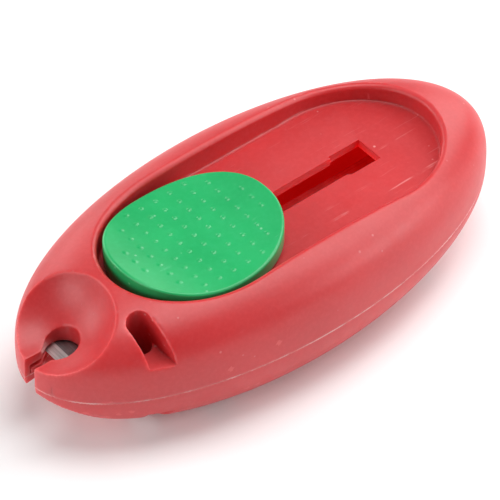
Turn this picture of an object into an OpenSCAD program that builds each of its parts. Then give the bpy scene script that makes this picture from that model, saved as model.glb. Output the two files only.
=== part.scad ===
// Oval pocket utility knife: a two-shell casing, a sliding blade moved by a
// thumb button, and a small fixed blade across a string notch in the nose.
// The nose with the notch points to -X, the sliding blade comes out at +X,
// +Z is up and the origin is the middle of the flat underside.

/* [Casing] */
// Length of the casing from nose to tail
case_l = 85; // [82:1:92]
// Width of the casing
case_w = 40; // [38:1:44]
// Height of the parting line above the flat underside
part_z = 11; // [10.5:0.25:12]
// Height of the upper shell above the parting line
top_h = 12.6; // [12.2:0.1:13.5]
// Fullness of the upper shell's curve
top_m = 3.4; // [3:0.1:3.8]
// Height the lower curve would have without its flat underside
low_h = 15.8; // [15:0.1:17]
// Fullness of the lower shell's curve
low_m = 1.95; // [1.9:0.05:2.1]
// Wall thickness of the two shells
wall = 2.1; // [1.8:0.1:2.3]

/* [Thumb recess] */
// Height of the recess floor above the parting line
floor_up = 7.4; // [7.2:0.1:7.8]
// Thickness of the recess floor
floor_t = 1.5; // [1.3:0.1:1.6]
// Width of the recess
recess_w = 25.5; // [25.2:0.1:26]
// Width of the narrow part of the slot
slot_w = 4.1; // [4:0.1:4.3]
// Width of the wide end of the slot
slot_wide_w = 5; // [4.9:0.1:5.2]

/* [Slider] */
// How far the thumb button slides
travel = 29.5; // [20:0.5:29.5]
// Length of the thumb button
button_l = 27.5; // [26:0.5:28]
// Width of the thumb button
button_w = 23.1; // [22:0.1:23.4]
// Pitch of the grip dots along the button
dot_pitch = 2.7; // [2.5:0.1:3]
// Pitch of the grip dots across the button
dot_pitch_y = 2.27; // [2.1:0.01:2.4]
// Radius of the hollow along the button's top
saddle_r = 42.5; // [40:0.5:60]
// Length of the sliding blade
blade_l = 48; // [44:0.5:48]
// Width of the sliding blade
blade_w = 9; // [8:0.5:9]
// Thickness of the sliding blade
blade_t = 0.5; // [0.4:0.1:0.5]

/* [Nose] */
// Radius of the round hollow in the nose
dish_r = 11.9; // [11.5:0.1:12.5]
// Radius of the string hole
string_r = 2.65; // [2.4:0.05:2.8]
// Width of the string slit
slit_w = 2.3; // [2:0.1:2.4]
// Radius of the lanyard eye
eye_r = 1.8; // [1.7:0.05:1.9]

/* [Hidden] */

half_l = case_l / 2;
half_w = case_w / 2;
floor_z = part_z + floor_up;
under_z = floor_z - floor_t;
big = 60;

// string notch and its blade
hole_x = -36.4;
dish_x = -40.1;
dish_top_z = part_z + 3.5 + dish_r;
dish_low_z = part_z - 1.2 - dish_r;
string_flare_x = -38.1;
string_edge_x = -37.6;
string_back_x = -28.9;
string_peg_x = -31;
string_half_w = 3.9;
string_z = part_z + 1.25;
pad_up = 1.2;
chamber_x = -41.4;
chamber_l = 12.7;
chamber_h = 1.9;

// thumb recess: two half ovals joined by straight sides
recess_nose_x = -10.2;
recess_nose_l = 17;
recess_tail_x = 17;
recess_tail_l = 15.5;

// lanyard eye
eye_x = -28.9;
eye_y = -8.5;
eye_ledge_z = part_z + 5.6;
eye_low_z = part_z - 4.6;

// slider at rest, with the button at the nose end
button_x = -12.1;
button_bottom_z = floor_z + 0.3;
button_low_z = part_z + 10.22;
saddle_x = -11.15;
button_exp = 2.15;
dots_x = -11.85;
dots_y = 0.25;
// number of dots either side of the middle one in each column
dot_rows = [1, 3, 4, 4, 4, 4, 4, 3, 1];
stem_x0 = -13.5;
stem_x1 = -7.9;
slot_x0 = stem_x0 - 0.3;
slot_x1 = stem_x1 + travel + 0.2;
slot_step_x = slot_x1 - 5.9;
carriage_x0 = -20;
carriage_x1 = 4.5;
carriage_hw = 7;
carriage_low_z = part_z - 3.5;
blade_x0 = -9.5;
blade_x1 = blade_x0 + blade_l;

// inside of the casing
cavity_x0 = -24.5;
rail_y = 7.3;
rail_t = 1.4;
base_t = 1.8;
spring_z = part_z - 5.6;
pin_x = -23.2;
lug_x = 2.4;
screws = [[-18.5, 12.4], [-18.5, -12.4], [22.5, 11.2], [22.5, -11.2]];
screw_r = 1.1;
boss_r = 3.3;
head_r = 2.05;
head_z = 3;
clamp_screw_x = -16.2;
clamp_screw_y = 2.6;
blade_peg_x = -4.5;
mouth_gap = 0.4;
mouth_h = 1.2;
peg_r = 1.2;
// locating pegs: x, y and height above the parting line
pegs = [[-30, 9.5, 2.5], [-34.4, -6.6, 2.1]];

// quarter outline of a rounded dome: radius r, height h, fullness m
function dome_points(r, h, m, n) =
    [for (i = [0:n]) let (t = 90 * i / n) [r * pow(cos(t), 2 / m), h * pow(sin(t), 2 / m)]];

// closed oval outline with half axes a and b and exponent e
function oval_points(a, b, e, n) =
    [for (i = [0:n - 1]) let (t = 360 * i / n)
        [a * sign(cos(t)) * pow(abs(cos(t)), 2 / e), b * sign(sin(t)) * pow(abs(sin(t)), 2 / e)]];

// upper half of the casing's oval body, drawn in by inset
module upper_dome(inset, steps) {
    translate([0, 0, part_z])
        scale([1, (half_w - inset) / (half_l - inset), 1])
            rotate_extrude($fn = 96)
                polygon(concat([[0, 0]], dome_points(half_l - inset, top_h - inset, top_m, steps)));
}

// lower half of the casing's oval body, drawn in by inset and cut flat below
module lower_dome(inset, steps, cut_z) {
    difference() {
        translate([0, 0, part_z])
            scale([1, (half_w - inset) / (half_l - inset), 1])
                mirror([0, 0, 1])
                    rotate_extrude($fn = 96)
                        polygon(concat([[0, 0]], dome_points(half_l - inset, low_h - inset, low_m, steps)));
        translate([-big, -big, cut_z - 30])
            cube([2 * big, 2 * big, 30]);
    }
}

// elliptical disc between two heights
module oval_disc(a, b, z0, z1) {
    translate([0, 0, z0])
        scale([1, b / a, 1])
            cylinder(r = a, h = z1 - z0, $fn = 96);
}

// plan of the thumb recess grown by g, from z0 to z1
module recess_block(g, z0, z1) {
    hw = recess_w / 2 + g;
    translate([recess_nose_x, 0, 0]) oval_disc(recess_nose_l + g, hw, z0, z1);
    translate([recess_tail_x, 0, 0]) oval_disc(recess_tail_l + g, hw, z0, z1);
    translate([recess_nose_x, -hw, z0]) cube([recess_tail_x - recess_nose_x, 2 * hw, z1 - z0]);
}

// rim of the inner wall, between two insets, used for the lip and its rebate
module lip_ring(in0, in1, z0, z1) {
    intersection() {
        difference() {
            oval_disc(half_l - in0, half_w - in0, z0, z1);
            oval_disc(half_l - in1, half_w - in1, z0 - 1, z1 + 1);
        }
        translate([cavity_x0 + 1, -big, z0 - 2]) cube([big + 12, 2 * big, z1 - z0 + 4]);
    }
}

// slot through the recess floor
module button_slot() {
    translate([slot_x0, -slot_w / 2, under_z - 1]) cube([slot_x1 - slot_x0 - 1, slot_w, floor_t + 3]);
    translate([slot_step_x, -slot_wide_w / 2, under_z - 1])
        cube([slot_x1 - slot_step_x, slot_wide_w, floor_t + 3]);
}

// hole and slit of the string notch, straight through the nose
module string_notch() {
    translate([hole_x, 0, -1]) cylinder(r = string_r, h = 30, $fn = 64);
    translate([-big, -slit_w / 2, -1]) cube([big + hole_x, slit_w, 30]);
    // the slit flares where it meets the hole
    translate([0, 0, -1])
        linear_extrude(30)
            polygon([
                [string_flare_x - 1.2, slit_w / 2],
                [string_flare_x, string_r - 0.6],
                [hole_x, 0],
                [string_flare_x, 0.6 - string_r],
                [string_flare_x - 1.2, -slit_w / 2]
            ]);
}

// flat chamber for the fixed blade and the pad that closes it
module string_pocket() {
    translate([chamber_x, -string_half_w - 0.25, part_z - 0.01])
        cube([chamber_l, 2 * string_half_w + 0.5, chamber_h + 0.01]);
}

// round-ended pocket of the lanyard eye, which runs out of the flank above or below its bore
module eye_pocket(z0, z1) {
    translate([eye_x, eye_y, z0]) cylinder(r = eye_r, h = z1 - z0, $fn = 64);
    translate([eye_x - eye_r, eye_y - half_w, z0]) cube([2 * eye_r, half_w, z1 - z0]);
}

module eye_bore() {
    translate([eye_x, eye_y, -1]) cylinder(r = eye_r, h = 30, $fn = 64);
}

// flat mouth at the tail for the sliding blade
module blade_mouth() {
    translate([half_l - 7.5, -blade_w / 2 - mouth_gap, part_z - mouth_h / 2])
        cube([12, blade_w + 2 * mouth_gap, mouth_h]);
}

module top_shell() {
    color([0.80, 0.20, 0.22])
        difference() {
            union() {
                difference() {
                    upper_dome(0, 20);
                    // hollow inside, leaving the tub of the thumb recess
                    intersection() {
                        difference() {
                            translate([0, 0, -0.01]) upper_dome(wall, 12);
                            recess_block(floor_t, under_z, 40);
                        }
                        translate([cavity_x0, -big, 0]) cube([2 * big, 2 * big, 40]);
                    }
                }
                // screw bosses
                for (p = screws)
                    translate([p[0], p[1], part_z]) cylinder(r = 2.5, h = floor_up - 1.2, $fn = 32);
            }
            recess_block(0, floor_z, 40);
            button_slot();
            // round hollow in the nose
            translate([dish_x, 0, dish_top_z]) sphere(r = dish_r, $fn = 96);
            string_notch();
            string_pocket();
            eye_pocket(eye_ledge_z, 40);
            eye_bore();
            blade_mouth();
            lip_ring(wall - 1.0, wall + 0.5, part_z - 0.5, part_z + 1.4);
            // pilot holes
            for (p = screws)
                translate([p[0], p[1], part_z - 1]) cylinder(r = screw_r + 0.02, h = 6.2, $fn = 32);
            // sockets for the locating pegs of the lower shell
            for (p = pegs)
                translate([p[0], p[1], part_z - 1]) cylinder(r = peg_r + 0.05, h = p[2] + 1.3, $fn = 32);
        }
}

module bottom_shell() {
    color([0.76, 0.18, 0.20])
        difference() {
            union() {
                difference() {
                    lower_dome(0, 20, 0);
                    intersection() {
                        translate([0, 0, 0.01]) lower_dome(wall, 12, base_t);
                        translate([cavity_x0, -big, 0]) cube([2 * big, 2 * big, 40]);
                    }
                }
                // inner works stay inside the skin
                intersection() {
                    union() {
                        // guide rails beside the carriage
                        for (s = [-1, 1])
                            translate([cavity_x0 - 0.2, s * (rail_y + rail_t / 2) - rail_t / 2, 1])
                                cube([59.5, rail_t, part_z - 1]);
                        // bearers under the carriage
                        for (s = [-1, 1])
                            translate([cavity_x0 - 0.2, s * 4 - 0.8, 1]) cube([62, 1.6, carriage_low_z - 1.3]);
                        // rear stop of the carriage, open in the middle for the spring
                        for (s = [-1, 1])
                            translate([carriage_x0 - 1.6, s * 5.3 - 2.6, 1]) cube([1.4, 5.2, part_z]);
                        // boss of the spring pin
                        translate([pin_x, 0, 1]) cylinder(r = 2.2, h = 2.2, $fn = 32);
                        for (p = screws)
                            translate([p[0], p[1], 0.5]) cylinder(r = boss_r, h = part_z - 0.5, $fn = 32);
                    }
                    union() {
                        lower_dome(wall / 2, 12, 0.5);
                        translate([0, 0, -0.01]) upper_dome(wall + 0.4, 8);
                    }
                }
                // rails go on a little above the parting line
                for (s = [-1, 1])
                    translate([-20, s * (rail_y + rail_t / 2) - rail_t / 2, part_z - 1]) cube([50, rail_t, 3]);
                // tongue that locates the two shells
                lip_ring(wall - 0.9, wall, part_z - 1, part_z + 1.3);
                // pad that closes the chamber of the string blade
                translate([chamber_x + 0.1, -string_half_w - 0.15, part_z - 0.5])
                    cube([chamber_l - 0.2, 2 * string_half_w + 0.3, pad_up + 0.5]);
                // peg through the string blade
                translate([string_peg_x, 0, part_z]) cylinder(r = 1, h = 1.8, $fn = 32);
                // locating pegs
                for (p = pegs)
                    translate([p[0], p[1], part_z - 0.5]) cylinder(r = peg_r, h = p[2] + 0.5, $fn = 32);
            }
            // round hollow under the nose
            translate([dish_x, 0, dish_low_z]) sphere(r = dish_r, $fn = 96);
            string_notch();
            eye_pocket(-1, eye_low_z);
            eye_bore();
            blade_mouth();
            // clearance holes and countersinks at the bottom of deep recesses
            for (p = screws) {
                translate([p[0], p[1], -1]) cylinder(r = screw_r + 0.2, h = 30, $fn = 32);
                translate([p[0], p[1], head_z]) cylinder(r1 = head_r + 0.1, r2 = screw_r + 0.2, h = 1.1, $fn = 32);
                translate([p[0], p[1], -1]) cylinder(r = head_r + 0.1, h = head_z + 1.01, $fn = 32);
            }
            // hole for the spring pin
            translate([pin_x, 0, 1.2]) cylinder(r = 0.77, h = 12, $fn = 32);
        }
}

// height of the button's hollow top at x
function button_top(x) = button_low_z + pow(x - saddle_x, 2) / (2 * saddle_r);

// one ring of the button's skin, inset from the outline and sunk below the top
function button_ring(inset, sink, n) =
    [for (p = oval_points(button_l / 2 - inset, button_w / 2 - inset, button_exp, n))
        [p[0], p[1], button_top(button_x + p[0]) - sink]];

// oval thumb pad, hollow along its length like a saddle, with a rounded upper edge
module button_pad() {
    n = 56;
    // inset from the outline and depth below the top of each ring, from the edge inwards
    steps = [[0, 0.7], [0.12, 0.3], [0.35, 0.08], [0.8, 0], [3, 0], [6, 0], [9, 0]];
    foot = [for (p = oval_points(button_l / 2 - 0.3, button_w / 2 - 0.3, button_exp, n))
        [p[0], p[1], button_bottom_z]];
    side = [for (p = oval_points(button_l / 2, button_w / 2, button_exp, n))
        [p[0], p[1], button_bottom_z + 0.5]];
    rings = concat([foot, side], [for (s = steps) button_ring(s[0], s[1], n)]);
    last = len(rings);
    sides = [for (k = [0:last - 2]) for (i = [0:n - 1]) let (j = (i + 1) % n)
        each [[k * n + i, (k + 1) * n + i, k * n + j], [k * n + j, (k + 1) * n + i, (k + 1) * n + j]]];
    under = [for (i = [0:n - 1]) [last * n, i, (i + 1) % n]];
    over = [for (i = [0:n - 1]) [last * n + 1, (last - 1) * n + (i + 1) % n, (last - 1) * n + i]];
    polyhedron(
        concat([for (r = rings) each r], [[0, 0, button_bottom_z], [0, 0, button_top(button_x)]]),
        concat(sides, under, over)
    );
}

module thumb_button() {
    color([0.20, 0.66, 0.40]) {
        translate([button_x, 0, 0]) button_pad();
        // grip dots in columns across the pad
        for (i = [0:8])
            for (j = [-dot_rows[i]:dot_rows[i]])
                let (x = dots_x + (i - 4) * dot_pitch)
                    translate([x, dots_y + j * dot_pitch_y, button_top(x) - 0.16]) sphere(r = 0.4, $fn = 16);
        // stem, foot and peg below the floor
        translate([stem_x0, -1.85, under_z - 1]) cube([stem_x1 - stem_x0, 3.7, floor_t + 1.6]);
        translate([stem_x0, -2.35, under_z - 1.5]) cube([stem_x1 - stem_x0, 4.7, 1.2]);
        translate([stem_x0 + 1, -1.3, part_z + 1.6]) cube([3.6, 2.6, 3]);
    }
}

module blade_carriage() {
    color([0.90, 0.89, 0.84])
        difference() {
            union() {
                translate([carriage_x0, -carriage_hw, carriage_low_z])
                    cube([carriage_x1 - carriage_x0, 2 * carriage_hw, 5.9]);
                // lug for the moving end of the spring
                translate([lug_x, 0, spring_z - 1.4]) cylinder(r = 0.9, h = 4, $fn = 32);
                translate([lug_x, 0, spring_z - 1.4]) cylinder(r = 1.25, h = 0.7, $fn = 32);
            }
            // bed for the blade and the clamp
            translate([carriage_x0 + 1.1, -blade_w / 2 - 0.2, part_z - 0.3]) cube([40, blade_w + 0.4, 10]);
            // threads of the clamp screws
            for (s = [-1, 1])
                translate([clamp_screw_x, s * clamp_screw_y, carriage_low_z + 1]) cylinder(r = 0.82, h = 10, $fn = 32);
            // weight-saving pockets in the underside
            for (s = [-1, 1])
                translate([-17.5, s * 5.9 - 0.7, carriage_low_z - 1]) cube([19, 1.4, 3]);
            // slots of the side walls that make them spring against the rails
            for (s = [-1, 1])
                translate([-16, s * 5.75 - 0.25, part_z + 0.6]) cube([17, 0.5, 5]);
        }
    // peg that goes through the blade
    color([0.90, 0.89, 0.84])
        translate([blade_peg_x, 0, part_z - 0.4]) cylinder(r = 1.4, h = 0.65, $fn = 32);
}

module blade_clamp() {
    color([0.86, 0.85, 0.80])
        difference() {
            translate([carriage_x0 + 1.3, -blade_w / 2, part_z + 0.3])
                cube([carriage_x1 - carriage_x0 - 1.6, blade_w, 3.7]);
            // socket for the button's peg
            translate([stem_x0 + 0.85, -1.45, part_z + 1.3]) cube([3.9, 2.9, 5]);
            // screw holes with flat seats
            for (s = [-1, 1]) {
                translate([clamp_screw_x, s * clamp_screw_y, part_z - 1]) cylinder(r = 0.95, h = 8, $fn = 32);
                translate([clamp_screw_x, s * clamp_screw_y, part_z + 2.6]) cylinder(r = 1.55, h = 4, $fn = 32);
            }
        }
}

module clamp_screws() {
    shank_z = carriage_low_z + 1.4;
    seat_z = part_z + 2.6;
    color([0.72, 0.73, 0.75])
        for (s = [-1, 1])
            translate([clamp_screw_x, s * clamp_screw_y, 0])
                difference() {
                    union() {
                        translate([0, 0, shank_z]) cylinder(r = 0.8, h = seat_z - shank_z, $fn = 32);
                        translate([0, 0, seat_z]) cylinder(r = 1.45, h = 1, $fn = 32);
                    }
                    translate([-0.9, -0.17, seat_z + 0.5]) cube([1.8, 0.34, 1]);
                    translate([-0.17, -0.9, seat_z + 0.5]) cube([0.34, 1.8, 1]);
                }
}

module cutting_blade() {
    w = blade_w / 2;
    t = blade_t / 2;
    color([0.80, 0.81, 0.83])
        difference() {
            intersection() {
                // cross-section with the ground edge on the lanyard side
                translate([blade_x0, 0, part_z])
                    rotate([90, 0, 90])
                        linear_extrude(blade_l)
                            polygon([[w, -t], [w, t], [1.3 - w, t], [-w, 0.02], [-w, -0.02], [1.3 - w, -t]]);
                // slanted point
                translate([0, 0, part_z - 1])
                    linear_extrude(2)
                        polygon([
                            [blade_x0 - 1, -w - 1],
                            [blade_x1, -w - 1],
                            [blade_x1, -w],
                            [blade_x1 - 5.2, w + 1],
                            [blade_x0 - 1, w + 1]
                        ]);
            }
            // hole over the carriage's peg
            translate([blade_peg_x, 0, part_z - 1]) cylinder(r = 1.5, h = 2, $fn = 32);
        }
}

module string_blade() {
    color([0.80, 0.81, 0.82])
        difference() {
            translate([0, string_half_w, 0])
                rotate([90, 0, 0])
                    linear_extrude(2 * string_half_w)
                        polygon([
                            [string_edge_x, string_z],
                            [string_back_x, string_z],
                            [string_back_x, string_z + 0.5],
                            [string_edge_x + 1.7, string_z + 0.5],
                            [string_edge_x, string_z + 0.03]
                        ]);
            translate([string_peg_x, 0, part_z]) cylinder(r = 1.1, h = 4, $fn = 32);
        }
}

// path of the spring wire: loop on the pin, close coils, loop on the lug
function spring_path(x0, x1, turns, r) = concat(
    [for (i = [0:11]) let (a = 30 * i) [x0 + 1.2 * cos(a + 30), 1.2 * sin(a + 30), -0.25 + 0.5 * i / 11]],
    [for (i = [0:turns * 12]) let (a = 30 * i)
        [x0 + 2.3 + (x1 - x0 - 4.6) * i / (turns * 12), r * sin(a), r * cos(a) * (i < 3 ? i / 3 : 1)]],
    [for (i = [0:11]) let (a = 30 * i) [x1 - 1.3 * cos(a), -1.3 * sin(a), 0.25 - 0.5 * i / 11]]
);

// wire with five flats, swept along a list of points
module wire(path, r) {
    n = len(path);
    k = 5;
    dirs = [for (i = [0:n - 1]) let (d = path[min(i + 1, n - 1)] - path[max(i - 1, 0)]) d / norm(d)];
    rings = [for (i = [0:n - 1])
        let (
            d = dirs[i],
            u0 = abs(d[0]) > 0.9 ? [0, 0, 1] : [1, 0, 0],
            u = cross(d, u0) / norm(cross(d, u0)),
            v = cross(d, u)
        )
            [for (j = [0:k - 1]) path[i] + r * (u * cos(360 * j / k) + v * sin(360 * j / k))]];
    polyhedron(
        [for (g = rings) each g],
        concat(
            [[for (j = [0:k - 1]) j]],
            [for (i = [0:n - 2]) for (j = [0:k - 1]) let (q = (j + 1) % k)
                each [[i * k + j, (i + 1) * k + j, i * k + q], [i * k + q, (i + 1) * k + j, (i + 1) * k + q]]],
            [[for (j = [k - 1:-1:0]) (n - 1) * k + j]]
        )
    );
}

module return_spring() {
    color([0.66, 0.67, 0.69])
        translate([0, 0, spring_z]) wire(spring_path(pin_x, lug_x, 22, 1.3), 0.22);
}

module spring_pin() {
    color([0.74, 0.75, 0.77])
        translate([pin_x, 0, 1.3]) {
            cylinder(r = 0.75, h = spring_z + 1 - 1.3, $fn = 32);
            translate([0, 0, spring_z + 1 - 1.3]) cylinder(r1 = 1.05, r2 = 0.8, h = 0.5, $fn = 32);
        }
}

module case_screws() {
    color([0.70, 0.71, 0.73])
        for (p = screws)
            translate([p[0], p[1], 0])
                difference() {
                    union() {
                        translate([0, 0, head_z]) cylinder(r1 = head_r, r2 = screw_r, h = 1.05, $fn = 32);
                        translate([0, 0, head_z + 0.5]) cylinder(r = screw_r, h = 12, $fn = 32);
                    }
                    translate([-1.2, -0.22, head_z - 1]) cube([2.4, 0.44, 1.7]);
                    translate([-0.22, -1.2, head_z - 1]) cube([0.44, 2.4, 1.7]);
                }
}

top_shell();
bottom_shell();
thumb_button();
blade_carriage();
blade_clamp();
clamp_screws();
cutting_blade();
string_blade();
return_spring();
spring_pin();
case_screws();
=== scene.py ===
# An oval pocket utility knife: red two-shell casing, green thumb button, a small
# fixed blade across the string notch and a long blade that slides out at the tail.
import math

import bmesh
import bpy
import numpy as np
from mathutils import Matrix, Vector


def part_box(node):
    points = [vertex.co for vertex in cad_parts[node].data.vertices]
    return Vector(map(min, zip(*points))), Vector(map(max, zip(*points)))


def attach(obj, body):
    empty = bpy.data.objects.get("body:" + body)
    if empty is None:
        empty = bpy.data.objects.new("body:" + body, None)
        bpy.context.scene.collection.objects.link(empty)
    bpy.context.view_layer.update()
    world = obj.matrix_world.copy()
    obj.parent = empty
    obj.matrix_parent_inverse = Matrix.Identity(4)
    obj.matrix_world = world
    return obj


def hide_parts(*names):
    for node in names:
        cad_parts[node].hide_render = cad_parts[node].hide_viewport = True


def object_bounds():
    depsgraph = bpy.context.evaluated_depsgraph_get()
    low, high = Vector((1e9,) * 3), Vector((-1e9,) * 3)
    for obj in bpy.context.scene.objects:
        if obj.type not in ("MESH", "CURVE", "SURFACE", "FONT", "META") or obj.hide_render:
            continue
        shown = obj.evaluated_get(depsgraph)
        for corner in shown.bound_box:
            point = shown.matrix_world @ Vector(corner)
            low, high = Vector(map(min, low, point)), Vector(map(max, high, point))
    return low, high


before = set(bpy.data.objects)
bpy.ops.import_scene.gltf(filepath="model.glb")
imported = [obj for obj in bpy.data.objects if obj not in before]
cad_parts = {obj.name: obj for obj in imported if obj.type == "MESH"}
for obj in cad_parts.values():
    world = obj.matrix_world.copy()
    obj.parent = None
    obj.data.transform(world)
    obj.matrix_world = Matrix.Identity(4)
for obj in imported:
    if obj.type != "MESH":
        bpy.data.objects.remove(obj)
cad_low, cad_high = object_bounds()
mm = 0.001


# The view: a long lens above the lanyard side, turned towards the nose. It looks at
# the middle of the casing at the height where the two shells meet.
parting_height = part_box("top_shell")[0].z
half_length = (cad_high.x - cad_low.x) / 2
aim = Vector((-0.0262 * half_length, 0.0114 * half_length, parting_height))
azimuth, elevation = math.radians(-39.48), math.radians(45.5)
view_distance = 0.4506
away = Vector((
    math.sin(azimuth) * math.cos(elevation),
    -math.cos(azimuth) * math.cos(elevation),
    math.sin(elevation),
))
lens = bpy.data.cameras.new("view")
lens.lens = 217
lens.sensor_width = 36
lens.clip_start = 0.01
camera = bpy.data.objects.new("view", lens)
bpy.context.scene.collection.objects.link(camera)
camera.location = aim + away * view_distance
camera.rotation_euler = away.to_track_quat("Z", "Y").to_euler()
bpy.context.scene.camera = camera


# The studio: soft round lamps about the table, all aimed at the casing. The tail and
# the nose get most of the side light, and one lamp hangs overhead.
lamp_distance = 0.6


def soft_lamp(name, turn, rise, width, power):
    lamp = bpy.data.lights.new(name, "AREA")
    lamp.shape = "DISK"
    lamp.size = width
    lamp.energy = power
    holder = bpy.data.objects.new(name, lamp)
    bpy.context.scene.collection.objects.link(holder)
    turn, rise = math.radians(turn), math.radians(rise)
    towards = Vector((
        math.cos(turn) * math.cos(rise),
        math.sin(turn) * math.cos(rise),
        math.sin(rise),
    ))
    holder.location = towards * lamp_distance
    holder.rotation_euler = towards.to_track_quat("Z", "Y").to_euler()


soft_lamp("overhead", 0, 85, 0.34, 1.6)
soft_lamp("tail_front", 315, 22, 0.34, 1.4)
soft_lamp("tail_high", 345, 50, 0.40, 1.5)
soft_lamp("tail_low", 20, 25, 0.34, 1.0)
soft_lamp("back", 85, 22, 0.34, 0.8)
soft_lamp("nose_back", 135, 22, 0.34, 1.1)
soft_lamp("nose", 180, 22, 0.34, 1.2)

room = bpy.data.worlds.new("room")
room.use_nodes = True
room.node_tree.nodes["Background"].inputs["Color"].default_value = (1, 1, 1, 1)
room.node_tree.nodes["Background"].inputs["Strength"].default_value = 0.10
bpy.context.scene.world = room
bpy.context.scene.view_settings.view_transform = "Standard"

table_mesh = bpy.data.meshes.new("table")
half = 3
table_corners = [(-half, -half, 0), (half, -half, 0), (half, half, 0), (-half, half, 0)]
table_mesh.from_pydata(table_corners, [], [(0, 1, 2, 3)])
table = bpy.data.objects.new("table", table_mesh)
bpy.context.scene.collection.objects.link(table)
table.location.z = cad_low.z
paper = bpy.data.materials.new("table_paper")
paper.use_nodes = True
paper.node_tree.nodes["Principled BSDF"].inputs["Base Color"].default_value = (0.95, 0.95, 0.95, 1)
paper.node_tree.nodes["Principled BSDF"].inputs["Roughness"].default_value = 0.9
table_mesh.materials.append(paper)


# The two casing shells, injection moulded in red plastic. The edges are soft, the rim
# of the thumb recess has a fuller round, and a thin pale line of flash runs where the
# shells meet. Four screws from below hold them together.
case_half_l, case_half_w = 42.5 * mm, 20 * mm
upper_rise, upper_fullness = 12.6 * mm, 3.4
lower_drop, lower_fullness = 15.8 * mm, 1.95
dish_centre_x, dish_radius = -40.1 * mm, 11.9 * mm
upper_dish_deepest = parting_height + 3.5 * mm
lower_dish_deepest = parting_height - 1.2 * mm
recess_floor, recess_half_w = parting_height + 7.4 * mm, 12.75 * mm


def new_material(name):
    made = bpy.data.materials.new(name)
    made.use_nodes = True
    return made, made.node_tree, made.node_tree.nodes["Principled BSDF"]


def node(tree, kind, settings=None, **sockets):
    made = tree.nodes.new("ShaderNode" + kind)
    for key, value in (settings or {}).items():
        setattr(made, key, value)
    for key, value in sockets.items():
        made.inputs[key.replace("_", " ")].default_value = value
    return made


def maths(tree, operation, a, b=None):
    made = node(tree, "Math", {"operation": operation})
    for socket, value in zip(made.inputs, (a, b)):
        if value is None:
            continue
        if isinstance(value, (int, float)):
            socket.default_value = value
        else:
            tree.links.new(value, socket)
    return made.outputs[0]


def band(tree, value, low, high):
    """0 at low, 1 at high, with a smooth change between."""
    made = node(tree, "MapRange", {"interpolation_type": "SMOOTHSTEP", "clamp": True})
    tree.links.new(value, made.inputs["Value"])
    made.inputs["From Min"].default_value = low
    made.inputs["From Max"].default_value = high
    return made.outputs["Result"]


def tint(tree, share, base, over):
    """The base colour with a share of another laid over it."""
    made = node(tree, "Mix", {"data_type": "RGBA", "blend_type": "MIX", "clamp_factor": True})
    factor, colour_a, colour_b = made.inputs[0], made.inputs[6], made.inputs[7]
    for socket, value in ((factor, share), (colour_a, base), (colour_b, over)):
        if hasattr(value, "links"):
            tree.links.new(value, socket)
        else:
            socket.default_value = value
    return made.outputs[2]


def grain(tree, place, scale, stretch=(1, 1, 1), detail=3.0, rough=0.55, shift=(0, 0, 0)):
    """Noise on the piece's own coordinates; scale is in grains a metre."""
    move = node(tree, "Mapping")
    move.inputs["Scale"].default_value = stretch
    move.inputs["Location"].default_value = shift
    tree.links.new(place, move.inputs["Vector"])
    made = node(tree, "TexNoise", Scale=scale, Detail=detail, Roughness=rough)
    tree.links.new(move.outputs[0], made.inputs["Vector"])
    return made.outputs["Fac"]


def specks(tree, place, scale, size, share):
    """Small separate specks: 1 on a speck. share is how many cells have one."""
    cells = node(tree, "TexVoronoi", {"feature": "F1"}, Scale=scale)
    tree.links.new(place, cells.inputs["Vector"])
    near = band(tree, cells.outputs["Distance"], size, size * 0.45)
    pick = node(tree, "SeparateColor")
    tree.links.new(cells.outputs["Color"], pick.inputs[0])
    chosen = maths(tree, "LESS_THAN", pick.outputs[0], share)
    return maths(tree, "MULTIPLY", near, chosen)


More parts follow.
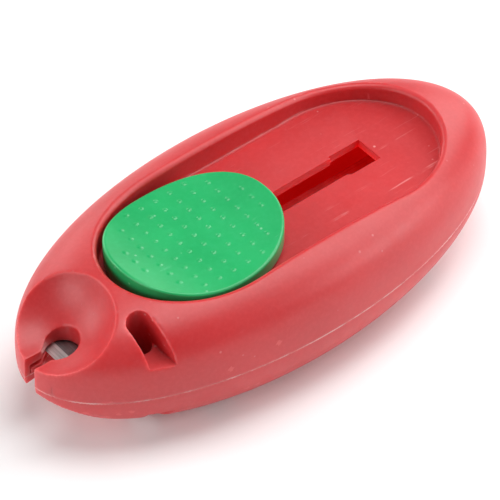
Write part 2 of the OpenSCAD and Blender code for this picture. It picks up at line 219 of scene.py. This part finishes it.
def red_plastic():
    made, tree, shader = new_material("moulded_red")
    place = node(tree, "TexCoord").outputs["Object"]
    apart = node(tree, "SeparateXYZ")
    tree.links.new(place, apart.inputs[0])
    height = apart.outputs["Z"]
    # slow drift and fine mottle of the pigment
    drift = grain(tree, place, 45, detail=2)
    mottle = grain(tree, place, 1500, detail=2)
    colour = tint(tree, band(tree, drift, 0.3, 0.7), (0.54, 0.020, 0.024, 1), (0.60, 0.028, 0.033, 1))
    mottled = maths(tree, "MULTIPLY", band(tree, mottle, 0.35, 0.75), 0.15)
    colour = tint(tree, mottled, colour, (0.74, 0.08, 0.085, 1))
    # how much a spot belongs to the rubbed recess floor
    above_floor = maths(tree, "ABSOLUTE", maths(tree, "SUBTRACT", height, recess_floor))
    off_middle = maths(tree, "ABSOLUTE", apart.outputs["Y"])
    at_floor = band(tree, above_floor, 0.3 * mm, 0.1 * mm)
    in_recess = band(tree, off_middle, recess_half_w + 0.45 * mm, recess_half_w - 0.35 * mm)
    on_floor = maths(tree, "MULTIPLY", at_floor, in_recess)
    # sliding marks along the floor, and faint handling scratches everywhere
    rubs = band(tree, grain(tree, place, 900, (0.035, 1, 1), detail=4, rough=0.7), 0.58, 0.72)
    gaps = band(tree, grain(tree, place, 260, detail=2, shift=(3, 1, 0)), 0.42, 0.62)
    rubs = maths(tree, "MULTIPLY", rubs, gaps)
    rub_share = maths(tree, "ADD", maths(tree, "MULTIPLY", on_floor, 0.85), 0.06)
    rub_share = maths(tree, "MULTIPLY", rub_share, 0.45)
    colour = tint(tree, maths(tree, "MULTIPLY", rubs, rub_share), colour, (0.90, 0.50, 0.50, 1))
    # dust and lint
    dust = specks(tree, place, 620, 0.16, 0.30)
    clumps = band(tree, grain(tree, place, 120, detail=3, shift=(0, 5, 2)), 0.50, 0.66)
    dust = maths(tree, "MULTIPLY", dust, clumps)
    dust_share = maths(tree, "ADD", maths(tree, "MULTIPLY", on_floor, 0.45), 0.22)
    colour = tint(tree, maths(tree, "MULTIPLY", dust, dust_share), colour, (0.93, 0.72, 0.70, 1))
    # edges painted lighter and redder, a painted highlight along them, but not on the recess floor
    edges = band(tree, node(tree, "NewGeometry").outputs["Pointiness"], 0.515, 0.57)
    edges = maths(tree, "MULTIPLY", edges, maths(tree, "SUBTRACT", 1, on_floor))
    colour = tint(tree, maths(tree, "MULTIPLY", edges, 0.30), colour, (0.85, 0.20, 0.20, 1))
    # flash along the parting line, broken and pale
    off_parting = maths(tree, "ABSOLUTE", maths(tree, "SUBTRACT", height, parting_height))
    line = band(tree, off_parting, 0.17 * mm, 0.05 * mm)
    broken = band(tree, grain(tree, place, 320, detail=4, rough=0.7), 0.40, 0.62)
    flash_share = maths(tree, "ADD", maths(tree, "MULTIPLY", broken, 0.75), 0.2)
    flash = maths(tree, "MULTIPLY", line, flash_share)
    colour = tint(tree, flash, colour, (0.88, 0.55, 0.53, 1))
    tree.links.new(colour, shader.inputs["Base Color"])
    # satin finish with a fine moulded grain
    shine = node(tree, "MapRange", To_Min=0.36, To_Max=0.50)
    tree.links.new(grain(tree, place, 400, detail=4), shine.inputs["Value"])
    worn = maths(tree, "MULTIPLY", maths(tree, "ADD", rubs, dust), 0.12)
    duller = maths(tree, "ADD", shine.outputs["Result"], worn)
    tree.links.new(duller, shader.inputs["Roughness"])
    skin = grain(tree, place, 2600, detail=3, rough=0.6)
    waves = grain(tree, place, 160, detail=2)
    relief = maths(tree, "ADD", maths(tree, "MULTIPLY", skin, 0.25), maths(tree, "MULTIPLY", waves, 0.9))
    relief = maths(tree, "SUBTRACT", relief, maths(tree, "MULTIPLY", rubs, 0.15))
    raised = maths(tree, "MULTIPLY", maths(tree, "ADD", dust, flash), 0.6)
    relief = maths(tree, "ADD", relief, raised)
    bump = node(tree, "Bump", Strength=0.5, Distance=0.00006)
    tree.links.new(relief, bump.inputs["Height"])
    tree.links.new(bump.outputs[0], shader.inputs["Normal"])
    shader.inputs["IOR"].default_value = 1.49
    shader.inputs["Specular IOR Level"].default_value = 0.68
    shader.inputs["Subsurface Weight"].default_value = 0.8
    shader.inputs["Subsurface Radius"].default_value = (1.0, 0.10, 0.09)
    shader.inputs["Subsurface Scale"].default_value = 0.0016
    # a weak red glow inside stands in for the light that comes through the thin walls
    soaked = node(tree, "Attribute", {"attribute_name": "inside"})
    shader.inputs["Emission Color"].default_value = (1, 0.004, 0.004, 1)
    cloudy = node(tree, "MapRange", To_Min=0.12, To_Max=0.17)
    tree.links.new(drift, cloudy.inputs["Value"])
    glow = maths(tree, "MULTIPLY", soaked.outputs["Fac"], cloudy.outputs["Result"])
    tree.links.new(glow, shader.inputs["Emission Strength"])
    return made


def settled(piece, name, body, *nodes, slot=None):
    """The piece with its modifiers applied, riding on its body in place of CAD nodes."""
    seen = piece.evaluated_get(bpy.context.evaluated_depsgraph_get())
    mesh = bpy.data.meshes.new_from_object(seen)
    mesh.name = name
    done = bpy.data.objects.new(name, mesh)
    bpy.context.scene.collection.objects.link(done)
    bpy.data.objects.remove(piece)
    mesh.shade_smooth()
    mesh.set_sharp_from_angle(angle=math.radians(50))
    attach(done, body)
    if nodes:
        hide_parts(*nodes)
    return done


def moulding(cad_node):
    """A plastic moulding from a CAD node: one even skin of small faces, edges still crisp."""
    rough = bpy.data.objects.new("raw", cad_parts[cad_node].data.copy())
    bpy.context.scene.collection.objects.link(rough)
    rough.data.materials.clear()
    even = rough.modifiers.new("even_skin", "REMESH")
    even.mode = "SHARP"
    even.octree_depth = 8
    even.scale = 0.99
    even.use_remove_disconnected = False
    seen = rough.evaluated_get(bpy.context.evaluated_depsgraph_get())
    mesh = bpy.data.meshes.new_from_object(seen)
    bpy.data.objects.remove(rough)
    made = bpy.data.objects.new("moulding", mesh)
    bpy.context.scene.collection.objects.link(made)
    return made


def points_of(mesh):
    co = np.empty(len(mesh.vertices) * 3)
    mesh.vertices.foreach_get("co", co)
    return co.reshape(-1, 3)


def normals_of(mesh):
    out = np.empty(len(mesh.vertices) * 3)
    mesh.vertices.foreach_get("normal", out)
    return out.reshape(-1, 3)


def fullness_curve(round_share, height_share, fullness):
    """1 on the casing's outer curve, less inside it."""
    return (round_share**fullness + height_share**fullness) ** (1 / fullness)


def round_share_of(x, y):
    return np.hypot(x / case_half_l, y / case_half_w)


def true_up(mesh, tallest, fullness, upper, deepest):
    """Draws the outer skin onto its exact curve, and the nose hollow onto its ball."""
    skin_window, dish_window, facing_limit = 0.004, 0.06 * mm, 0.86
    co, facing = points_of(mesh), normals_of(mesh)
    rel = co - (0, 0, parting_height)
    outward = rel[:, 2] > -1e-6 if upper else rel[:, 2] < 1e-6
    height_share = np.abs(rel[:, 2]) / tallest
    round_share = round_share_of(rel[:, 0], rel[:, 1])
    size = fullness_curve(round_share, height_share, fullness)
    steepness = height_share ** (fullness - 1) / tallest
    slope = np.c_[
        rel[:, 0] / case_half_l**2,
        rel[:, 1] / case_half_w**2,
        np.sign(rel[:, 2]) * steepness / np.maximum(round_share, 0.05) ** (fullness - 2),
    ]
    slope /= np.linalg.norm(slope, axis=1)[:, None]
    skin = outward & (np.abs(size - 1) < skin_window) & ((slope * facing).sum(1) > facing_limit)
    rel[skin] /= size[skin, None]
    co[skin] = rel[skin] + (0, 0, parting_height)
    ball_centre = np.array((dish_centre_x, 0, deepest + (dish_radius if upper else -dish_radius)))
    out = co - ball_centre
    far = np.linalg.norm(out, axis=1)
    dished = (np.abs(far - dish_radius) < dish_window) & ((out * facing).sum(1) < -facing_limit * far)
    co[dished] = ball_centre + out[dished] * (dish_radius / far[dished])[:, None]
    mesh.vertices.foreach_set("co", co.ravel())
    mesh.update()


def mark_inside(mesh, low, high, glow):
    """Notes how much each point glows: most in the closed hollow between the shells."""
    wall_share, hollow_start, slot_start = 0.955, -24.7 * mm, -14 * mm
    slot_half, slot_rise, slot_glow = 3 * mm, 1.3 * mm, 1.1
    x, y, z = (points_of(mesh) - (0, 0, parting_height)).T
    round_share = round_share_of(x, y)
    size = np.where(
        z > 0,
        fullness_curve(round_share, np.abs(z / upper_rise), upper_fullness),
        fullness_curve(round_share, np.abs(z / lower_drop), lower_fullness),
    )
    hollow = (size < wall_share) & (z > low) & (z < high) & (x > hollow_start)
    slot = (np.abs(y) < slot_half) & (z < high + slot_rise) & (z > high) & (x > slot_start)
    share = np.where(hollow, glow, np.where(slot, slot_glow, 0)).astype(np.float32)
    mesh.attributes.new("inside", "FLOAT", "POINT").data.foreach_set("value", share)


def soften(piece):
    """Rounds the edges by two smoothing turns."""
    worn = piece.modifiers.new("soft_edges", "SMOOTH")
    worn.factor = 0.5
    worn.iterations = 2


def cutter_of(name, points, faces):
    """A closed shape that is only used to cut with."""
    mesh = bpy.data.meshes.new(name)
    mesh.from_pydata([tuple(p) for p in points], [], faces)
    made = bpy.data.objects.new(name, mesh)
    bpy.context.scene.collection.objects.link(made)
    return made


def walls(count, levels):
    """The faces of a closed stack of rings: a cap below, the walls, a cap above."""
    faces = [tuple(reversed(range(count))), tuple(range((levels - 1) * count, levels * count))]
    for k in range(levels - 1):
        here, above = k * count, (k + 1) * count
        for i in range(count):
            j = (i + 1) % count
            faces.append((here + i, here + j, above + j, above + i))
    return faces


def recess_cutter():
    """The space of the thumb recess: a flat floor with a small fillet, an upright wall,
    and a round rim that follows the outer curve up and down."""
    rim_r, foot_r, clear = 0.75 * mm, 0.3 * mm, 0.03 * mm
    tail_x, tail_l = 17 * mm, 15.5 * mm
    nose_x, nose_l = -10.2 * mm, 17 * mm
    flat_border, overcut, top = 0.5 * mm, 0.4 * mm, parting_height + 15 * mm
    # the plan: half an oval at each end and straight sides between
    turn = np.radians(np.linspace(-90, 90, 120))
    run = np.linspace(tail_x, nose_x, 56)[1:-1]
    side, still = np.full_like(run, recess_half_w), 0 * run
    x = np.r_[tail_x + tail_l * np.cos(turn), run, nose_x - nose_l * np.cos(turn), run[::-1]]
    y = np.r_[recess_half_w * np.sin(turn), side, -recess_half_w * np.sin(turn), -side]
    out_x = np.r_[np.cos(turn) / tail_l, still, -np.cos(turn) / nose_l, still]
    out_y = np.r_[np.sin(turn), still + 1, -np.sin(turn), still - 1] / recess_half_w
    length = np.hypot(out_x, out_y)
    out_x, out_y = out_x / length, out_y / length

    def at(offset):
        return x + out_x * (offset + clear), y + out_y * (offset + clear)

    def crown(offset):
        round_share = round_share_of(*at(offset))
        return parting_height + upper_rise * (1 - round_share**upper_fullness) ** (1 / upper_fullness)

    def ring(offset, height):
        return np.c_[(*at(offset), x * 0 + height)]

    slope = np.arctan2(crown(0) - crown(rim_r), rim_r)
    arc_z = crown(0) - rim_r * np.tan(slope) - rim_r / np.cos(slope)
    floor = recess_floor - clear
    # a narrow flat border keeps the fillet's bend off the rest of the floor
    rings = [ring(-foot_r - flat_border, floor)]
    for t in np.radians((0, 30, 60, 90)):
        rings.append(ring(foot_r * (math.sin(t) - 1), floor + foot_r * (1 - math.cos(t))))
    for share in np.linspace(0, 1, 12):
        lean = share * (math.pi / 2 + slope)
        rings.append(ring(rim_r * (1 - np.cos(lean)), arc_z + rim_r * np.sin(lean)))
    end = rim_r * (1 + np.sin(slope)) + clear
    rings.append(ring(end, rings[-1][:, 2] + overcut))
    rings.append(ring(end, top))
    return cutter_of("recess_cutter", np.concatenate(rings), walls(len(x), len(rings)))


# the slot of the button's stem; its walls stand a little clear of the stem
def slot_cutter():
    clear, below, above = 0.06 * mm, 2.4 * mm, 2 * mm
    start, step, ramp, end = -13.8 * mm, 15.9 * mm, 0.45 * mm, 21.8 * mm + clear
    half, half_wide = 2.05 * mm + clear, 2.5 * mm + clear
    plan = [
        (start, -half), (step - ramp, -half), (step + ramp, -half_wide), (end, -half_wide),
        (end, half_wide), (step, half_wide), (step, half), (start, half),
    ]
    points = [(x, y, z) for z in (recess_floor - below, recess_floor + above) for x, y in plan]
    return cutter_of("slot_cutter", points, walls(len(plan), 2))


moulded_red = red_plastic()
upper = moulding("top_shell")
true_up(upper.data, upper_rise, upper_fullness, True, upper_dish_deepest)
soften(upper)
cutters = (recess_cutter(), slot_cutter())
for cutter in cutters:
    cut = upper.modifiers.new(cutter.name, "BOOLEAN")
    cut.operation = "DIFFERENCE"
    cut.solver = "EXACT"
    cut.object = cutter
upper.data.materials.append(moulded_red)
upper_shell = settled(upper, "upper_shell", "casing", "top_shell", slot="shell_red")
under_floor = recess_floor - parting_height - 1.45 * mm
mark_inside(upper_shell.data, -1 * mm, under_floor, 3)
for cutter in cutters:
    bpy.data.objects.remove(cutter)

lower = moulding("bottom_shell")
true_up(lower.data, lower_drop, lower_fullness, False, lower_dish_deepest)
soften(lower)
lower.data.materials.append(moulded_red)
lower_shell = settled(lower, "lower_shell", "casing", "bottom_shell", slot="shell_red")
mark_inside(lower_shell.data, -9.4 * mm, 4 * mm, 1)


# The thumb button, moulded in green plastic: an oval pad, hollow along its length
# like a saddle, with a rounded edge and columns of small grip dots. Its stem goes
# down through the slot, and a foot under the recess floor keeps it in.
pad_low, pad_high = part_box("thumb_button")
pad_half_l = (pad_high.x - pad_low.x) / 2
pad_half_w = (pad_high.y - pad_low.y) / 2
pad_centre_x = (pad_high.x + pad_low.x) / 2
pad_fullness = 2.15
pad_underside = recess_floor + 0.3 * mm
pad_low_top, saddle_x, saddle_r = parting_height + 10.22 * mm, -11.15 * mm, 42.5 * mm
dot_reach = (1, 3, 4, 4, 4, 4, 4, 3, 1)  # dots each side of the middle one, column by column
dot_r, dot_rise = 0.42 * mm, 0.11 * mm
dots_x, dots_y = -11.85 * mm, 0.25 * mm
dot_pitch_x, dot_pitch_y = 2.7 * mm, 2.27 * mm


def pad_top(x):
    """Height of the saddle's hollow at a place along the pad."""
    return pad_low_top + (x - saddle_x) ** 2 / (2 * saddle_r)


def grip_dots(x, y):
    """Height of the grip dots above the pad."""
    rise = np.zeros_like(x)
    middle = len(dot_reach) // 2
    for column, reach in enumerate(dot_reach):
        for row in range(-reach, reach + 1):
            dot_x = dots_x + (column - middle) * dot_pitch_x
            dot_y = dots_y + row * dot_pitch_y
            away_from = np.hypot(x - dot_x, y - dot_y) / dot_r
            rise = np.maximum(rise, dot_rise * np.clip(1 - away_from**2, 0, 1) ** 1.2)
    return rise


def oval(around, inset):
    """The pad's outline, drawn in by an inset."""
    along, across = pad_half_l - inset, pad_half_w - inset
    reach = (np.abs(np.cos(around) / along) ** pad_fullness
             + np.abs(np.sin(around) / across) ** pad_fullness) ** (-1 / pad_fullness)
    return pad_centre_x + reach * np.cos(around), reach * np.sin(around)


def thumb_pad():
    around = np.linspace(0, 2 * math.pi, 360, endpoint=False)
    rings = []
    edge_r = 0.45 * mm
    # flat underside, small lower round, side wall
    for inset, lift in ((6, 0), (3, 0), (0.7, 0), (0.3, 0.05), (0.08, 0.25), (0, 0.55)):
        x, y = oval(around, inset * mm)
        rings.append(np.c_[x, y, np.full_like(x, pad_underside + lift * mm)])
    x, y = oval(around, 0)
    side_top = pad_top(x) - edge_r
    for share in (0.35, 0.7):
        rings.append(np.c_[x, y, rings[5][:, 2] + (side_top - rings[5][:, 2]) * share])
    # rounded upper edge, then the hollow top with its dots
    for turn in np.linspace(0, math.pi / 2, 9):
        x, y = oval(around, edge_r * (1 - math.cos(turn)))
        rings.append(np.c_[x, y, pad_top(x) - edge_r * (1 - math.sin(turn))])
    x_rim, y_rim = oval(around, edge_r)
    for share in np.linspace(0.99, 0.02, 105):
        x, y = pad_centre_x + (x_rim - pad_centre_x) * share, y_rim * share
        rings.append(np.c_[x, y, pad_top(x) + grip_dots(x, y)])
    shape = bmesh.new()
    loops = [[shape.verts.new(p) for p in ring] for ring in rings]
    for a, b in zip(loops, loops[1:]):
        for i in range(len(around)):
            j = (i + 1) % len(around)
            shape.faces.new((a[i], a[j], b[j], b[i]))
    shape.faces.new(list(reversed(loops[0])))
    crown = shape.verts.new((pad_centre_x, 0, pad_top(pad_centre_x)))
    for i in range(len(around)):
        shape.faces.new((loops[-1][i], loops[-1][(i + 1) % len(around)], crown))
    mesh = bpy.data.meshes.new("pad")
    shape.to_mesh(mesh)
    shape.free()
    return mesh


def block(shape, low, high):
    """A closed block added to a mesh that is being made."""
    for v in bmesh.ops.create_cube(shape, size=1)["verts"]:
        v.co = Vector(low[i] if v.co[i] < 0 else high[i] for i in range(3))


def button_stem():
    """The neck in the slot, the foot under the floor, and the peg into the clamp."""
    shape = bmesh.new()
    under = recess_floor - 1.5 * mm
    start, end = -13.5 * mm, -7.9 * mm
    neck_half, foot_half, peg_half = 1.85 * mm, 2.35 * mm, 1.3 * mm
    peg_start, peg_end, peg_foot = start + 1 * mm, start + 4.6 * mm, parting_height + 1.6 * mm
    block(shape, (start, -neck_half, under - 0.4 * mm), (end, neck_half, pad_underside + 0.2 * mm))
    block(shape, (start, -foot_half, under - 1.5 * mm), (end, foot_half, under - 0.3 * mm))
    block(shape, (peg_start, -peg_half, peg_foot), (peg_end, peg_half, under - 1.4 * mm))
    edges = list(shape.edges)
    bmesh.ops.bevel(shape, geom=edges, offset=0.15 * mm, segments=2, affect="EDGES", profile=0.6)
    mesh = bpy.data.meshes.new("stem")
    shape.to_mesh(mesh)
    shape.free()
    return mesh


def green_plastic():
    made, tree, shader = new_material("moulded_green")
    place = node(tree, "TexCoord").outputs["Object"]
    drift = grain(tree, place, 90, detail=2)
    mottle = grain(tree, place, 1300, detail=2)
    colour = tint(tree, band(tree, drift, 0.3, 0.7), (0.008, 0.37, 0.105, 1), (0.014, 0.42, 0.125, 1))
    mottled = maths(tree, "MULTIPLY", band(tree, mottle, 0.4, 0.8), 0.2)
    colour = tint(tree, mottled, colour, (0.04, 0.50, 0.20, 1))
    scuffs = band(tree, grain(tree, place, 700, (0.06, 1, 1), detail=4, rough=0.7), 0.62, 0.74)
    gaps = band(tree, grain(tree, place, 300, detail=2, shift=(3, 1, 0)), 0.50, 0.66)
    scuffs = maths(tree, "MULTIPLY", scuffs, gaps)
    colour = tint(tree, maths(tree, "MULTIPLY", scuffs, 0.25), colour, (0.25, 0.70, 0.45, 1))
    dust = specks(tree, place, 500, 0.13, 0.18)
    colour = tint(tree, maths(tree, "MULTIPLY", dust, 0.30), colour, (0.55, 0.85, 0.66, 1))
    tree.links.new(colour, shader.inputs["Base Color"])
    shine = node(tree, "MapRange", To_Min=0.26, To_Max=0.38)
    tree.links.new(grain(tree, place, 500, detail=4), shine.inputs["Value"])
    tree.links.new(shine.outputs["Result"], shader.inputs["Roughness"])
    relief = maths(tree, "ADD", maths(tree, "MULTIPLY", grain(tree, place, 2400, detail=3), 0.25),
                   maths(tree, "MULTIPLY", grain(tree, place, 200, detail=2), 0.7))
    relief = maths(tree, "SUBTRACT", relief, maths(tree, "MULTIPLY", scuffs, 0.3))
    bump = node(tree, "Bump", Strength=0.5, Distance=0.00005)
    tree.links.new(relief, bump.inputs["Height"])
    tree.links.new(bump.outputs[0], shader.inputs["Normal"])
    shader.inputs["IOR"].default_value = 1.49
    shader.inputs["Subsurface Weight"].default_value = 0.10
    shader.inputs["Specular IOR Level"].default_value = 0.6
    shader.inputs["Subsurface Radius"].default_value = (0.2, 1.0, 0.4)
    shader.inputs["Subsurface Scale"].default_value = 0.001
    return made


moulded_green = green_plastic()
button_raw = bpy.data.objects.new("button_raw", thumb_pad())
bpy.context.scene.collection.objects.link(button_raw)
button_raw.data.materials.append(moulded_green)
settled(button_raw, "button_pad", "slider", "thumb_button", slot="button_green")
stem_raw = bpy.data.objects.new("stem_raw", button_stem())
bpy.context.scene.collection.objects.link(stem_raw)
stem_raw.data.materials.append(moulded_green)
stem = settled(stem_raw, "button_stem", "slider", slot="button_green")
stem.data.shade_flat()


# The blades, ground from hardened strip steel. The small one lies fixed across the
# string notch with its edge towards the mouth; the long one sits on the carriage.
def blade_steel(name, edge_axis, edge_from, edge_to, dark, light):
    """Flats in the given tones, and past one place along an axis a ground bevel painted bright, a
    painted reflection.
    """
    made, tree, shader = new_material(name)
    place = node(tree, "TexCoord").outputs["Object"]
    apart = node(tree, "SeparateXYZ")
    tree.links.new(place, apart.inputs[0])
    ground = band(tree, apart.outputs[edge_axis], edge_from, edge_to)
    strokes = (1, 0.03, 1) if edge_axis == "X" else (0.03, 1, 1)
    across = grain(tree, place, 3500, strokes, detail=3)
    cloud = grain(tree, place, 500, detail=3)
    colour = tint(tree, band(tree, cloud, 0.3, 0.7), (*dark, 1), (*light, 1))
    stroke_share = maths(tree, "MULTIPLY", band(tree, across, 0.4, 0.7), 0.5)
    colour = tint(tree, stroke_share, colour, (0.34, 0.34, 0.345, 1))
    # the ground bevel painted bright: a painted reflection of the room's light
    bright = tint(tree, band(tree, across, 0.35, 0.7), (0.60, 0.59, 0.58, 1), (0.86, 0.85, 0.84, 1))
    colour = tint(tree, ground, colour, bright)
    pits = specks(tree, place, 2600, 0.22, 0.35)
    colour = tint(tree, maths(tree, "MULTIPLY", pits, 0.30), colour, (0.30, 0.28, 0.27, 1))
    tree.links.new(colour, shader.inputs["Base Color"])
    shader.inputs["Metallic"].default_value = 1.0
    shine = node(tree, "MapRange", To_Min=0.30, To_Max=0.48)
    tree.links.new(across, shine.inputs["Value"])
    tree.links.new(shine.outputs["Result"], shader.inputs["Roughness"])
    bump = node(tree, "Bump", Strength=0.4, Distance=0.00002)
    relief = maths(tree, "SUBTRACT", across, maths(tree, "MULTIPLY", pits, 0.5))
    tree.links.new(relief, bump.inputs["Height"])
    tree.links.new(bump.outputs[0], shader.inputs["Normal"])
    return made


def finish_of(cad_node, material):
    """Gives a CAD node that is kept as it is its real material."""
    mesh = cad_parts[cad_node].data
    mesh.materials.clear()
    mesh.materials.append(material)


# the small blade's flats are painted very dark grey: a painted reflection of the dark hollow of the
# notch around them
notch_steel = blade_steel(
    "notch_blade_steel", "X", -35.85 * mm, -35.95 * mm, (0.16, 0.16, 0.165), (0.26, 0.26, 0.265)
)
long_steel = blade_steel(
    "long_blade_steel", "Y", -3.15 * mm, -3.25 * mm, (0.50, 0.50, 0.51), (0.62, 0.62, 0.63)
)
finish_of("string_blade", notch_steel)
finish_of("cutting_blade", long_steel)


# The slide inside the casing: a carriage and a clamp plate, moulded in natural
# acetal, which hold the long blade between them and take the button's peg.
def acetal():
    made, tree, shader = new_material("natural_acetal")
    place = node(tree, "TexCoord").outputs["Object"]
    cloud = grain(tree, place, 250, detail=3)
    colour = tint(tree, band(tree, cloud, 0.3, 0.7), (0.74, 0.72, 0.64, 1), (0.82, 0.80, 0.73, 1))
    soil = band(tree, grain(tree, place, 900, (0.1, 1, 1), detail=4), 0.58, 0.75)
    colour = tint(tree, maths(tree, "MULTIPLY", soil, 0.35), colour, (0.45, 0.42, 0.36, 1))
    tree.links.new(colour, shader.inputs["Base Color"])
    shine = node(tree, "MapRange", To_Min=0.34, To_Max=0.50)
    tree.links.new(grain(tree, place, 700, detail=3), shine.inputs["Value"])
    tree.links.new(shine.outputs["Result"], shader.inputs["Roughness"])
    bump = node(tree, "Bump", Strength=0.4, Distance=0.00004)
    tree.links.new(grain(tree, place, 2000, detail=3), bump.inputs["Height"])
    tree.links.new(bump.outputs[0], shader.inputs["Normal"])
    return made


natural_acetal = acetal()
finish_of("blade_carriage", natural_acetal)
finish_of("blade_clamp", natural_acetal)


# Screws, the spring's pin and the return spring: small steel parts, the screws and
# the pin zinc plated, the spring of drawn wire wound close.
def plated_steel(name, dark, light, dullness):
    made, tree, shader = new_material(name)
    place = node(tree, "TexCoord").outputs["Object"]
    cloud = grain(tree, place, 900, detail=4)
    colour = tint(tree, band(tree, cloud, 0.3, 0.7), (*dark, 1), (*light, 1))
    stain = band(tree, grain(tree, place, 350, detail=3, shift=(1, 4, 2)), 0.55, 0.75)
    colour = tint(tree, maths(tree, "MULTIPLY", stain, 0.4), colour, (0.33, 0.30, 0.26, 1))
    tree.links.new(colour, shader.inputs["Base Color"])
    shader.inputs["Metallic"].default_value = 1.0
    shine = node(tree, "MapRange", To_Min=dullness - 0.06, To_Max=dullness + 0.10)
    tree.links.new(grain(tree, place, 1500, detail=3), shine.inputs["Value"])
    tree.links.new(shine.outputs["Result"], shader.inputs["Roughness"])
    bump = node(tree, "Bump", Strength=0.3, Distance=0.00003)
    tree.links.new(grain(tree, place, 3000, detail=3), bump.inputs["Height"])
    tree.links.new(bump.outputs[0], shader.inputs["Normal"])
    return made


zinc = plated_steel("zinc_plated_steel", (0.55, 0.56, 0.58), (0.68, 0.69, 0.70), 0.34)
wire_steel = plated_steel("spring_wire_steel", (0.36, 0.36, 0.38), (0.50, 0.50, 0.52), 0.28)
finish_of("case_screws", zinc)
finish_of("clamp_screws", zinc)
finish_of("spring_pin", zinc)
finish_of("return_spring", wire_steel)
